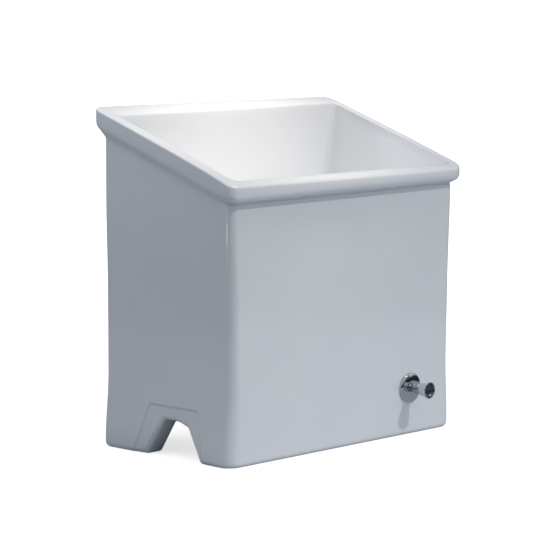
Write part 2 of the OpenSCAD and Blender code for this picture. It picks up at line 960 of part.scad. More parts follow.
module crank_arm() {
  reach = crank_r + nipple_d / 2 + 2.5;
  gap = arm_w - 2 * cheek_t;
  slot_w = nipple_d + 2 * slot_clear;
  arm_span = slot_w + 5;
  color(steel)
    translate([crank_x, shaft_y, shaft_z])
      rotate([-half_swing, 0, 0])
        difference() {
          union() {
            x_cyl(shaft_d + 8, -arm_w / 2, arm_w / 2);
            translate([-arm_w / 2, -arm_span / 2, -reach])
              cube([arm_w, arm_span, reach]);
          }
          x_cyl(shaft_d + 0.1, -arm_w, arm_w);
          translate([-gap / 2, -arm_span, -reach - cut])
            cube([gap, 2 * arm_span, reach - shaft_d / 2 - 6 + cut]);
          translate([-arm_w, -slot_w / 2, -reach - cut])
            cube([2 * arm_w, slot_w, nipple_d + 6 + cut]);
        }
}

module crank_screw() {
  head_x = crank_x + arm_w / 2;
  color(steel)
    translate([0, shaft_y, shaft_z])
      difference() {
        union() {
          x_cyl(shaft_d / 2, crank_x - arm_w + 2, head_x + 1);
          x_cyl(shaft_d + 4, head_x, head_x + 3);
        }
        translate([head_x + 1.8, -4, -0.5])
          cube([3, 8, 1]);
      }
}

module lift_pin() {
  color(steel) {
    translate([0, 0, pin_foot_z])
      cylinder(d = pin_d, h = pin_top_z - pin_foot_z);
    translate([0, 0, pin_foot_z])
      cylinder(d = pin_foot_d, h = pin_foot_t);
  }
}

// The basket and what lifts out with it
module strainer_holes() {
  rings = 3;
  step = (basket_d / 2 - spacer_d / 2) / rings;
  for (ring = [0:rings - 1]) {
    r = spacer_d / 2 + step * (ring + 0.5);
    count = 6 + 6 * ring;
    for (i = [0:count - 1])
      rotate([0, 0, 360 / count * i])
        translate([r, 0, basket_z - cut])
          cylinder(d = strainer_hole_d, h = basket_t + 2 * cut, $fn = 24);
  }
}

module basket() {
  color(steel)
    difference() {
      translate([0, 0, basket_z])
        cylinder(d = basket_d, h = basket_top_z - lip_t - basket_z);
      translate([0, 0, basket_z + basket_t])
        cylinder(d = basket_d - 2 * basket_t, h = basket_top_z);
      translate([0, 0, basket_z - cut])
        cylinder(d = stem_d + 2 * run, h = basket_t + 2 * cut);
      strainer_holes();
    }
}

// The rim is a ring on the basket's top edge that reaches over the gap to the cup
module basket_rim() {
  color(steel)
    translate([0, 0, basket_top_z - lip_t])
      tube(lip_d, basket_d - 2 * basket_t, lip_t);
}

module basket_stem() {
  bottom = basket_z + basket_t;
  color(steel)
    rotate_extrude()
      polygon([[0, basket_z - 3.5], [stem_d / 2, basket_z - 3.5], [stem_d / 2, bottom],
               [spacer_d / 2 - 1, bottom], [spacer_d / 2 - 1, bottom + 1.5], [4, bottom + 3],
               [3.5, button_top_z - 6], [button_d / 2 - 1.5, button_top_z - 4],
               [button_d / 2, button_top_z - 2.5], [button_d / 2 - 0.5, button_top_z - 1],
               [button_d / 2 - 3, button_top_z], [0, button_top_z]]);
}

module valve_seal() {
  color(rubber)
    translate([0, 0, seal_z])
      tube(valve_seal_d, hub_d + 2 * run, valve_seal_t);
}

module seal_washer() {
  color(steel)
    translate([0, 0, seal_z + valve_seal_t])
      tube(valve_seal_d - 14, hub_d + 2 * run, seal_washer_t);
}

module seal_holder() {
  shoulder_z = seal_z + valve_seal_t + seal_washer_t;
  color(black_plastic)
    difference() {
      union() {
        translate([0, 0, holder_z])
          cylinder(d = hub_d, h = basket_z - holder_z);
        translate([0, 0, holder_z])
          cylinder(d = seat_hole_d / 2, h = seal_z - holder_z);
        translate([0, 0, shoulder_z])
          cylinder(d = spacer_d, h = basket_z - shoulder_z);
      }
      translate([0, 0, holder_z - cut])
        cylinder(d = pin_d + 2 * fit, h = socket_depth + cut);
      translate([0, 0, basket_z - 4])
        cylinder(d = stem_d + 2 * run, h = 4 + cut);
    }
}

basin();
pedestal();
waste_flange();
valve_seat();
upper_seal();
lower_washer();
back_nut();
valve_housing();
housing_seal();
guide_spider();
shaft_seal();
gland_nut();
cable_bracket();
bracket_screws();
crank_ferrule();
bowden_sleeve();
cable_cap();
through_bush();
rosette();
rosette_seal();
inner_washer();
lock_nut();
slip_nut();
slip_washer();
tailpiece();
knob();
knob_spindle();
grub_screw();
knob_wire();
crank_wire();
wire_nipple();
crank_shaft();
lifting_cam();
crank_arm();
crank_screw();
lift_pin();
basket();
basket_rim();
basket_stem();
valve_seal();
seal_washer();
seal_holder();
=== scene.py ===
import json
import math

import bmesh
import bpy
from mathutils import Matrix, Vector


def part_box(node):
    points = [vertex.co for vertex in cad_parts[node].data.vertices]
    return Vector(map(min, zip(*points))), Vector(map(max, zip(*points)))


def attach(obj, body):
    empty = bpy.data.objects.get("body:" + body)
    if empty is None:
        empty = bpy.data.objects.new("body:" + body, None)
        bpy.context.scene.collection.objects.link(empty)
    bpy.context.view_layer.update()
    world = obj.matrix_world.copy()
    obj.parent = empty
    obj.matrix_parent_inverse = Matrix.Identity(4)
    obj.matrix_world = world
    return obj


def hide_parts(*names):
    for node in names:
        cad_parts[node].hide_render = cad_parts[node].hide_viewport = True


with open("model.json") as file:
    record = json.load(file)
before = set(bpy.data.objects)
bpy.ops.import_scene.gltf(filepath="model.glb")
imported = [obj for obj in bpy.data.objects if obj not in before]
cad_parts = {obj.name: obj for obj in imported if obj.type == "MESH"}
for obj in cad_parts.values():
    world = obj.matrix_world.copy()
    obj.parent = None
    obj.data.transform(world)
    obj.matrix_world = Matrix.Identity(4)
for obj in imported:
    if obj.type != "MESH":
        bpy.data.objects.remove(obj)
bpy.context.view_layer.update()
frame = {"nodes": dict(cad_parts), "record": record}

# Everything below is written in millimetres and scaled to metres where a mesh, a light or the camera is made.
MM = 0.001

# The camera stands low, in front of the sink and to its left, as in the photograph
CAMERA_AT = (-2779.7, -2602.6, 714.4)
CAMERA_AIM = (-4.0, 0.0, 249.6)
CAMERA_ROLL_DEG = 0.25
LENS_MM = 156.17
SENSOR_MM = 36
CLIP_END_M = 1000

# The rim and the pedestal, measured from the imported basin
RIM_LOW, RIM_HIGH = (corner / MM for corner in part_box("basin"))
RIM_X = RIM_HIGH.x
RIM_FRONT = RIM_LOW.y
RIM_BACK = RIM_HIGH.y
RIM_TOP_BACK = RIM_HIGH.z
RIM_RISE = 104
RIM_CROWN = 1.4
RIM_TOP_FRONT = RIM_TOP_BACK - RIM_RISE
SIDE_OVERHANG = 15
FRONT_OVERHANG = 14
BACK_OVERHANG = 8
WALL_X = RIM_X - SIDE_OVERHANG
WALL_FRONT = RIM_FRONT + FRONT_OVERHANG
WALL_BACK = RIM_BACK - BACK_OVERHANG
WALL_T = 16
# The rim's flat top is narrow in front, and a ledge at the back
TOP_W_FRONT = 18.5
TOP_W_SIDE = 23
TOP_W_BACK = 35
# Corner radii, in the order right back, left back, left front, right front. The fired rim isn't quite even.
WALL_CORNERS = (14, 14, 13, 13)
RIM_CORNERS = (18, 18, 14, 27)
# The pedestal's inner wall has one corner radius
INNER_CORNER_R = 12
# The front corners open out towards the foot. Going up, they lose LOW_PART_FADE of that by BORDER_CLEAR_Z
# and the rest above it.
FOOT_CORNER_GROWTH = 8
LOW_PART_FADE = 0.3
# The side walls draw in to a waist below the crease, over a height, and swell again at the foot. In front
# and at the back this fades out over DRAW_FADE from the corners.
CREASE_DROP = 31
WAIST = 2.9
WAIST_REACH = 155
FLARE = 6.0
FLARE_TOP = 118
FLARE_REACH = 106
DRAW_FADE = 60
# Points this close to a side's plane belong to its flat face
SIDE_FACE = 4
# The foot's rounding, and where it fades in across the corners, measured inward from the walls
FOOT_R = 7
FOOT_FADE_X = (30, 4)
FOOT_FADE_Y = (26, 3)
# The section under the rim from the wall to the band's upright face, as (how far out, how far below the
# top). In front its foot is a fine groove in the wall, CREASE_TILT lower at the left end than in the middle
# and as much higher at the right. Round the sides and the back the section is drawn out longer.
COVE_FRONT = ((0, 32.2), (-1.6, 31.8), (-1.6, 30.7), (0.7, 30.0), (2.4, 28.9), (4.2, 27.8), (6.2, 26.6),
              (8.2, 25.3), (10.0, 23.9), (11.6, 22.3), (13.0, 20.4), (14.1, 18.2), (14.8, 15.8),
              (15, 13.2))
CREASE_TILT = 2.2
COVE_SIDE = ((0, 46), (0.3, 43.8), (0.9, 42.0), (1.8, 40.4), (3.0, 38.8), (5.2, 36.0), (7.6, 33.2),
             (9.8, 30.7), (11.5, 28.9), (12.8, 27.4), (13.9, 25.4), (14.7, 22.8), (15, 19.8), (15, 14))
# The front's section gives way to the sides' between these depths, measured from the front wall
FRONT_TO_SIDE = (-10, 40)
# The plain wall ends this far below the sides' section
WALL_END_GAP = 6
# How far the rim's top rolls over its edge, inward and down. The front's longer roll fades out before the
# right corner.
EDGE_FRONT = (10, 4.5)
EDGE_SIDE = (3.2, 3.2)
EDGE_FADE = 50

# The basin
FLOOR_Z = 178
FLOOR_T = 14
FLOOR_ROUND = 26
FLOOR_INSET = 18
BASIN_X = 172
BASIN_FRONT = -94
BASIN_BACK = 100
BASIN_CORNERS = (11, 20, 20, 20)
OPENING_CORNERS = (6, 10, 10, 14)
# The opening's right side lies this much further out, and its right back corner this much further back
OPENING_RIGHT = 7.5
OPENING_BACK = 10
OPENING_LIP = 4
BASIN_T = 13
RECESS_R = 58
RECESS_Z = 174.5
WASTE_HOLE_R = 45

# The side notches, with Y measured from the front wall: the feet, then the arch's corners (y, z, radius)
NOTCH_FOOT = (68, 184)
NOTCH_ARCH = ((147, 56.5, 10), (117, 57, 40), (96, 50, 7))
NOTCH_FOOT_R = 9
NOTCH_SPLAY = 26
NOTCH_MOUTHS = (7, 1.5)
NOTCH_WALL_T = 34
# The wall thickens towards a notch between these distances inside its border
THICKENS_OVER = (-4, 8)
BORDER_FOOT = (57, 210)
BORDER_TOP = (72, 176)
BORDER_H = 80
BORDER_STEP = 1.4
BORDER_STEP_W = 2.4
BORDER_LEAN = 2.2
BORDER_LEAN_W = 24
# Above this height no ring follows the border
BORDER_CLEAR_Z = 96

# The opening in the back, and the knob's hole in the front
BACK_OPEN_X = 150
BACK_OPEN_H = 150
BACK_OPEN_R = 30
BACK_MOUTHS = (5, 3)
KNOB_HOLE_R = 11.5
# Cutters start this far below the floor, and run this far past a wall's faces
CUT_BELOW = -8
OVERRUN = 12
HOLE_OVERRUN = 5

# The rosette's turned-in rim round the spindle
ROSETTE_BORE_R = 5.3
ROSETTE_HOLLOW_R = 10.2
ROSETTE_EDGE_H = 4.45

# The knob: its narrow back end, its bore for the spindle, and the dish in its face with the lip round it
KNOB_BACK_R = 8.25
KNOB_BORE_R = 5.05
KNOB_BORE_DEPTH = 22
KNOB_DISH = 6.5
KNOB_LIP_W = 2.1
KNOB_LIP_H = 1.2

# How finely the meshes are divided
ALONG_FRONT = 48
ALONG_SIDE = 84
ALONG_CORNER = 8
LOW_ROWS = 24
WALL_ROWS = 26
BASIN_ROWS = 24
INNER_ROWS = 24
ROUND = 96
# Edges that turn by more than this stay sharp
FIRED_EDGE_DEG = 32
TURNED_EDGE_DEG = 40


def srgb(code):
    """A hex colour such as "f2f3f0" as linear red, green, blue and alpha."""
    channels = [int(code[i:i + 2], 16) / 255 for i in (0, 2, 4)]
    linear = [c / 12.92 if c <= 0.04045 else ((c + 0.055) / 1.055) ** 2.4 for c in channels]
    return (*linear, 1.0)


def add_node(tree, kind, inputs=None, **settings):
    """Adds a node with its settings, and feeds its inputs from sockets or with values."""
    node = tree.nodes.new(kind)
    for name, value in settings.items():
        setattr(node, name, value)
    for key, value in (inputs or {}).items():
        if isinstance(value, bpy.types.NodeSocket):
            tree.links.new(value, node.inputs[key])
        else:
            node.inputs[key].default_value = value
    return node


def new_material(name, **shader_values):
    """A principled material with its fixed values on the shader's own sockets, and a point in millimetres."""
    material = bpy.data.materials.new(name)
    material.use_nodes = True
    tree = material.node_tree
    shader = tree.nodes["Principled BSDF"]
    for key, value in shader_values.items():
        shader.inputs[key.replace("_", " ")].default_value = value
    place = add_node(tree, "ShaderNodeTexCoord")
    point = add_node(tree, "ShaderNodeVectorMath", {0: place.outputs["Object"], "Scale": 1 / MM},
                     operation="SCALE")
    return material, tree, shader, point.outputs["Vector"]


def glazed_fireclay():
    """White tin glaze, poured over fireclay and fired: a thick clear gloss that is never quite even."""
    material, tree, shader, point = new_material("glazed_fireclay", IOR=1.52, Coat_Weight=0.35,
                                                 Coat_Roughness=0.04)
    clouds = add_node(tree, "ShaderNodeTexNoise", {"Vector": point, "Scale": 1 / 140, "Detail": 3.0,
                                                   "Roughness": 0.55})
    glaze = add_node(tree, "ShaderNodeMix", {"Factor": clouds.outputs["Fac"], 6: srgb("e6e9ec"),
                                             7: srgb("eef0f2")}, data_type="RGBA")
    specks = add_node(tree, "ShaderNodeTexNoise", {"Vector": point, "Scale": 1 / 1.6, "Detail": 1.0})
    speck_mask = add_node(tree, "ShaderNodeMapRange", {"Value": specks.outputs["Fac"], "From Min": 0.74,
                                                       "From Max": 0.80, "To Min": 0.0, "To Max": 0.25})
    colour = add_node(tree, "ShaderNodeMix", {"Factor": speck_mask.outputs["Result"], 6: glaze.outputs[2],
                                              7: srgb("c9c6bd")}, data_type="RGBA")
    tree.links.new(colour.outputs[2], shader.inputs["Base Color"])
    haze = add_node(tree, "ShaderNodeTexNoise", {"Vector": point, "Scale": 1 / 35, "Detail": 2.0})
    gloss = add_node(tree, "ShaderNodeMapRange", {"Value": haze.outputs["Fac"], "From Min": 0.3,
                                                  "From Max": 0.7, "To Min": 0.10, "To Max": 0.17})
    tree.links.new(gloss.outputs["Result"], shader.inputs["Roughness"])
    # The poured glaze keeps long, low waves of about 18 mm
    waves = add_node(tree, "ShaderNodeTexNoise", {"Vector": point, "Scale": 1 / 18, "Detail": 1.5})
    bump = add_node(tree, "ShaderNodeBump", {"Height": waves.outputs["Fac"], "Strength": 0.10,
                                             "Distance": 0.3 * MM})
    tree.links.new(bump.outputs["Normal"], shader.inputs["Normal"])
    return material


def bare_fireclay():
    """Fired fireclay without glaze, where the foot stood in the kiln: buff and gritty, with dark grog."""
    material, tree, shader, point = new_material("bare_fireclay", IOR=1.5, Roughness=0.92)
    grog = add_node(tree, "ShaderNodeTexVoronoi", {"Vector": point, "Scale": 1 / 1.8})
    tone = add_node(tree, "ShaderNodeTexNoise", {"Vector": point, "Scale": 1 / 12, "Detail": 4.0})
    clay = add_node(tree, "ShaderNodeMix", {"Factor": tone.outputs["Fac"], 6: srgb("b9a88f"),
                                            7: srgb("d6c8b2")}, data_type="RGBA")
    dark = add_node(tree, "ShaderNodeMapRange", {"Value": grog.outputs["Distance"], "From Min": 0.12,
                                                 "From Max": 0.25, "To Min": 0.55, "To Max": 0.0})
    colour = add_node(tree, "ShaderNodeMix", {"Factor": dark.outputs["Result"], 6: clay.outputs[2],
                                              7: srgb("7d6a55")}, data_type="RGBA")
    tree.links.new(colour.outputs[2], shader.inputs["Base Color"])
    bump = add_node(tree, "ShaderNodeBump", {"Height": grog.outputs["Distance"], "Strength": 0.5,
                                             "Distance": 0.2 * MM})
    tree.links.new(bump.outputs["Normal"], shader.inputs["Normal"])
    return material


def washed_fireclay():
    """The hollow under the sink, which gets one thin wash of glaze: dull white over the clay, with drips."""
    material, tree, shader, point = new_material("washed_fireclay", IOR=1.5)
    tone = add_node(tree, "ShaderNodeTexNoise", {"Vector": point, "Scale": 1 / 45, "Detail": 5.0,
                                                 "Roughness": 0.6})
    cover = add_node(tree, "ShaderNodeMapRange", {"Value": tone.outputs["Fac"], "From Min": 0.35,
                                                  "From Max": 0.6})
    colour = add_node(tree, "ShaderNodeMix", {"Factor": cover.outputs["Result"], 6: srgb("cdc3b3"),
                                              7: srgb("dcdcd8")}, data_type="RGBA")
    rough = add_node(tree, "ShaderNodeMapRange", {"Value": tone.outputs["Fac"], "From Min": 0.35,
                                                  "From Max": 0.6, "To Min": 0.75, "To Max": 0.42})
    tree.links.new(colour.outputs[2], shader.inputs["Base Color"])
    tree.links.new(rough.outputs["Result"], shader.inputs["Roughness"])
    grit = add_node(tree, "ShaderNodeTexNoise", {"Vector": point, "Scale": 1 / 2.2, "Detail": 3.0})
    bump = add_node(tree, "ShaderNodeBump", {"Height": grit.outputs["Fac"], "Strength": 0.35,
                                             "Distance": 0.2 * MM})
    tree.links.new(bump.outputs["Normal"], shader.inputs["Normal"])
    return material


# How much slower a metal's grain changes along its lines than across them
GRAIN_STRETCH = 0.06


def metal(name, light, dark, smooth, rough, grain_mm, grain_axis, depth):
    """A bare or plated metal, whose fine lines along one axis vary its tone, gloss and height."""
    material, tree, shader, point = new_material(name, Metallic=1.0)
    stretch = tuple(GRAIN_STRETCH if axis == grain_axis else 1.0 for axis in "XYZ")
    drawn = add_node(tree, "ShaderNodeVectorMath", {0: point, 1: stretch}, operation="MULTIPLY")
    grain = add_node(tree, "ShaderNodeTexNoise", {"Vector": drawn.outputs["Vector"], "Scale": 1 / grain_mm,
                                                  "Detail": 3.0})
    tone = add_node(tree, "ShaderNodeMix", {"Factor": grain.outputs["Fac"], 6: srgb(dark), 7: srgb(light)},
                    data_type="RGBA")
    tree.links.new(tone.outputs[2], shader.inputs["Base Color"])
    gloss = add_node(tree, "ShaderNodeMapRange", {"Value": grain.outputs["Fac"], "From Min": 0.3,
                                                  "From Max": 0.7, "To Min": smooth, "To Max": rough})
    tree.links.new(gloss.outputs["Result"], shader.inputs["Roughness"])
    bump = add_node(tree, "ShaderNodeBump", {"Height": grain.outputs["Fac"], "Strength": depth,
                                             "Distance": 0.05 * MM})
    tree.links.new(bump.outputs["Normal"], shader.inputs["Normal"])
    return material


def moulded(name, light, dark, smooth, rough, texture_mm, depth, ior):
    """A moulded plastic or rubber: slightly mottled, with the fine texture that its mould left."""
    material, tree, shader, point = new_material(name, IOR=ior)
    mottle = add_node(tree, "ShaderNodeTexNoise", {"Vector": point, "Scale": 1 / 22, "Detail": 3.0})
    tone = add_node(tree, "ShaderNodeMix", {"Factor": mottle.outputs["Fac"], 6: srgb(dark), 7: srgb(light)},
                    data_type="RGBA")
    tree.links.new(tone.outputs[2], shader.inputs["Base Color"])
    skin = add_node(tree, "ShaderNodeTexNoise", {"Vector": point, "Scale": 1 / texture_mm, "Detail": 2.0})
    gloss = add_node(tree, "ShaderNodeMapRange", {"Value": skin.outputs["Fac"], "From Min": 0.3,
                                                  "From Max": 0.7, "To Min": smooth, "To Max": rough})
    tree.links.new(gloss.outputs["Result"], shader.inputs["Roughness"])
    bump = add_node(tree, "ShaderNodeBump", {"Height": skin.outputs["Fac"], "Strength": depth,
                                             "Distance": 0.1 * MM})
    tree.links.new(bump.outputs["Normal"], shader.inputs["Normal"])
    return material


MATERIALS = {
    # Chrome plate over turned brass: a near mirror, with hairline wiping marks round the turning
    "chrome": metal("chrome_plate", "d9dcdf", "c9cdd2", 0.045, 0.085, 0.5, "Y", 0.04),
    # The knob's dished face, nearly black in the photograph: chrome over coarse turning, duller than the
    # polished
    # outside, with painted shade: its dark tone stands in for the shade and dark reflections inside the cup
    "dish": metal("chrome_dish_painted_shade", "7b8087", "3a3e45", 0.18, 0.32, 0.8, "Y", 0.15),
    # Deep drawn stainless steel, satin from the press
    "stainless": metal("drawn_stainless", "c4c5c6", "a9abad", 0.20, 0.33, 0.6, "Z", 0.12),
    # Turned yellow brass, dull after years in the damp
    "brass": metal("turned_brass", "c9a55a", "a07c3a", 0.28, 0.42, 0.5, "X", 0.15),
    "black_plastic": moulded("black_polypropylene", "232426", "17181a", 0.36, 0.48, 0.9, 0.25, 1.49),
    "grey_plastic": moulded("white_polypropylene", "dcdcd8", "cfcfca", 0.34, 0.46, 1.1, 0.22, 1.49),
    "rubber": moulded("black_nitrile_rubber", "1f1f20", "151516", 0.62, 0.80, 0.7, 0.35, 1.52),
}
FIRECLAY = [glazed_fireclay(), bare_fireclay(), washed_fireclay()]
GLAZED, BARE, WASHED = range(3)


def rim_height(y):
    """Height of the rim's sloping top at a depth y. It rises a little above a straight line in the middle."""
    share = (y - RIM_FRONT) / (RIM_BACK - RIM_FRONT)
    return RIM_TOP_FRONT + RIM_RISE * share + RIM_CROWN * 4 * share * (1 - share)


def sloping(drop):
    """The height of a ring that lies that far below the rim's top."""
    return lambda y: rim_height(y) - drop


def level(z):
    """The height of a level ring."""
    return lambda y: z


def between(low, high, share):
    """The height of a ring between two others."""
    return lambda y: low(y) + (high(y) - low(y)) * share


def corner_points(cx, cy, r, start):
    """A quarter circle's points, without its first."""
    turns = [math.radians(start + 90 * i / ALONG_CORNER) for i in range(1, ALONG_CORNER + 1)]
    return [(cx + r * math.cos(turn), cy + r * math.sin(turn)) for turn in turns]


def border_line(z):
    """Front and back edge of the notch's border at a height."""
    share = min(1, max(0, z / BORDER_H))
    return tuple(WALL_FRONT + foot + (top - foot) * share for foot, top in zip(BORDER_FOOT, BORDER_TOP))


def along_side(start, end, z):
    """Depths of a side's points from front to back, crowded along the edges of the notch's border."""
    front, back = border_line(z)
    depths = [start]
    for depth, count in ((front - 2, 12), (front, 2), (front + BORDER_STEP_W, 3), (front + 5, 2),
                         (back - 5, 42), (back - BORDER_STEP_W, 2), (back, 3), (back + 2, 2), (end, 16)):
        last = depths[-1]
        depths += [last + (depth - last) * i / count for i in range(1, count + 1)]
    return depths


def ring(x, y0, y1, r, height, border_z=None):
    """A rounded rectangle, anticlockwise from the right end of the front, as points in space.

    r is the radius of its corners, or four of them from the right back one round to the right front one.
    """
    points = []
    right_back, left_back, left_front, right_front = r if isinstance(r, tuple) else (r,) * 4
    # Each side's two ends, then the corner that follows it: its centre, radius and start angle
    sides = (((x, y0 + right_front), (x, y1 - right_back),
              (x - right_back, y1 - right_back), right_back, 0),
             ((x - right_back, y1), (left_back - x, y1),
              (left_back - x, y1 - left_back), left_back, 90),
             ((-x, y1 - left_back), (-x, y0 + left_front),
              (left_front - x, y0 + left_front), left_front, 180),
             ((left_front - x, y0), (x - right_front, y0),
              (x - right_front, y0 + right_front), right_front, 270))
    for (ax, ay), (bx, by), centre, corner_r, turn in sides:
        if ax != bx:
            points += [(ax + (bx - ax) * i / ALONG_FRONT, ay) for i in range(1, ALONG_FRONT + 1)]
        elif border_z is None:
            points += [(ax, ay + (by - ay) * i / ALONG_SIDE) for i in range(1, ALONG_SIDE + 1)]
        else:
            depths = along_side(min(ay, by), max(ay, by), border_z)
            points += [(ax, y) for y in (depths[1:] if by > ay else depths[-2::-1])]
        points += corner_points(*centre, corner_r, turn)
    return [Vector((px, py, height(py))) for px, py in points]


def round_ring(radius, z, like):
    """A circle about the drain, with its points in the directions of another ring's points."""
    half_x = max(p.x for p in like)
    half_y = max(p.y for p in like)
    angles = [math.atan2(p.y / half_y, p.x / half_x) for p in like]
    return [Vector((radius * math.cos(a), radius * math.sin(a), z)) for a in angles]


def smooth_step(value, low, high):
    """0 below low, 1 above high, and a soft S between them."""
    t = min(1, max(0, (value - low) / (high - low)))
    return t * t * (3 - 2 * t)


def inside_border(y, z):
    """How far a point of the side wall lies inside the notch's border, in millimetres."""
    front, back = border_line(z)
    return min(y - front, back - y, BORDER_H - z)


def wall_draw(z):
    """How far the side walls draw in below the rim, and swell again at the foot."""
    waist = WAIST * smooth_step(RIM_TOP_FRONT - CREASE_DROP - z, 0, WAIST_REACH)
    flare = FLARE * smooth_step(FLARE_TOP - z, 0, FLARE_REACH)
    return waist - flare


def outer_wall(height, foot_share):
    """A ring of the outer wall: its sides draw in at the waist, and hold the notch's pressed border."""
    corners = (*WALL_CORNERS[:2], *(r + FOOT_CORNER_GROWTH * foot_share for r in WALL_CORNERS[2:]))
    points = ring(WALL_X, WALL_FRONT, WALL_BACK, corners, height, height(0))
    for p in points:
        side = smooth_step(abs(p.x), WALL_X - DRAW_FADE, WALL_X)
        press = 0
        inside = inside_border(p.y, p.z)
        if abs(p.x) > WALL_X - SIDE_FACE and inside > 0:
            step = BORDER_STEP * smooth_step(inside, 0, BORDER_STEP_W)
            press = step + BORDER_LEAN * min(1, inside / BORDER_LEAN_W)
        p.x -= math.copysign(1, p.x) * (wall_draw(p.z) * side + press)
    return points


def inner_wall(height, grow):
    """A ring of the pedestal's inner wall, which is thicker round the notches."""
    points = ring(WALL_X - WALL_T - grow, WALL_FRONT + WALL_T + grow, WALL_BACK - WALL_T - grow,
                  INNER_CORNER_R, height)
    for p in points:
        thick = smooth_step(inside_border(p.y, max(p.z, 0)), *THICKENS_OVER) * (NOTCH_WALL_T - WALL_T)
        if abs(p.x) > WALL_X - WALL_T - SIDE_FACE:
            p.x -= math.copysign(thick, p.x)
    return points


def front_and_side(front, side):
    """One ring out of two: the first in front, the second round the sides and the back."""
    start, end = (WALL_FRONT + depth for depth in FRONT_TO_SIDE)
    return [b.lerp(a, 1 - smooth_step(b.y, start, end)) for a, b in zip(front, side)]


def proud_ring(out, drop):
    """A ring round the outside that stands proud of the wall, as much as the rim's band where out is 15."""
    share = out / SIDE_OVERHANG
    corners = tuple(wall + (rim - wall) * share for wall, rim in zip(WALL_CORNERS, RIM_CORNERS))
    return ring(WALL_X + out, WALL_FRONT - FRONT_OVERHANG * share, WALL_BACK + BACK_OVERHANG * share,
                corners, sloping(drop), BORDER_H)


def skewed(points, amount):
    """Shifts a ring as the opening is shifted: fully at the opening, and not at all at the basin's floor."""
    for p in points:
        right = (p.x / (RIM_X - TOP_W_SIDE) + 1) / 2
        back = (p.y - RIM_FRONT) / (RIM_BACK - RIM_FRONT)
        p.x += amount * OPENING_RIGHT * right
        p.y += amount * OPENING_BACK * right * back
    return points


def opening_ring(out, drop):
    """A ring round the basin's opening, on the rim's top."""
    x = RIM_X - TOP_W_SIDE + out
    corners = tuple(r + out for r in OPENING_CORNERS)
    y0 = RIM_FRONT + TOP_W_FRONT - out
    y1 = RIM_BACK - TOP_W_BACK + out
    points = skewed(ring(x, y0, y1, corners, sloping(0)), 1)
    for p in points:
        p.z = rim_height(p.y) - drop
    return points


def basin_ring(share, grow):
    """A ring of the basin's wall, from the rim's opening at 0 to the rounded edge of its floor at 1."""
    x = (RIM_X - TOP_W_SIDE) * (1 - share) + BASIN_X * share + grow
    y0 = (RIM_FRONT + TOP_W_FRONT) * (1 - share) + BASIN_FRONT * share - grow
    y1 = (RIM_BACK - TOP_W_BACK) * (1 - share) + BASIN_BACK * share + grow
    corners = tuple(top * (1 - share) + low * share + grow
                    for top, low in zip(OPENING_CORNERS, BASIN_CORNERS))
    points = skewed(ring(x, y0, y1, corners, level(0)), 1 - share)
    height = between(sloping(OPENING_LIP), level(FLOOR_Z + FLOOR_ROUND), share)
    for p in points:
        p.z = height(p.y)
    return points


def meeting_share(index):
    """Where a line down the basin's outside leaves the inner wall, as a share of the basin's height."""
    low, high = 0, 1
    halvings = 14
    for _ in range(halvings):
        middle = (low + high) / 2
        p = basin_ring(middle, BASIN_T)[index]
        if abs(p.x) > WALL_X - WALL_T or abs(p.y) > WALL_BACK - WALL_T:
            low = middle
        else:
            high = middle
    return high


def quarter(steps):
    """Sine and cosine pairs of a quarter turn, both ends included."""
    return [(math.sin(math.pi / 2 * i / steps), math.cos(math.pi / 2 * i / steps)) for i in range(steps + 1)]


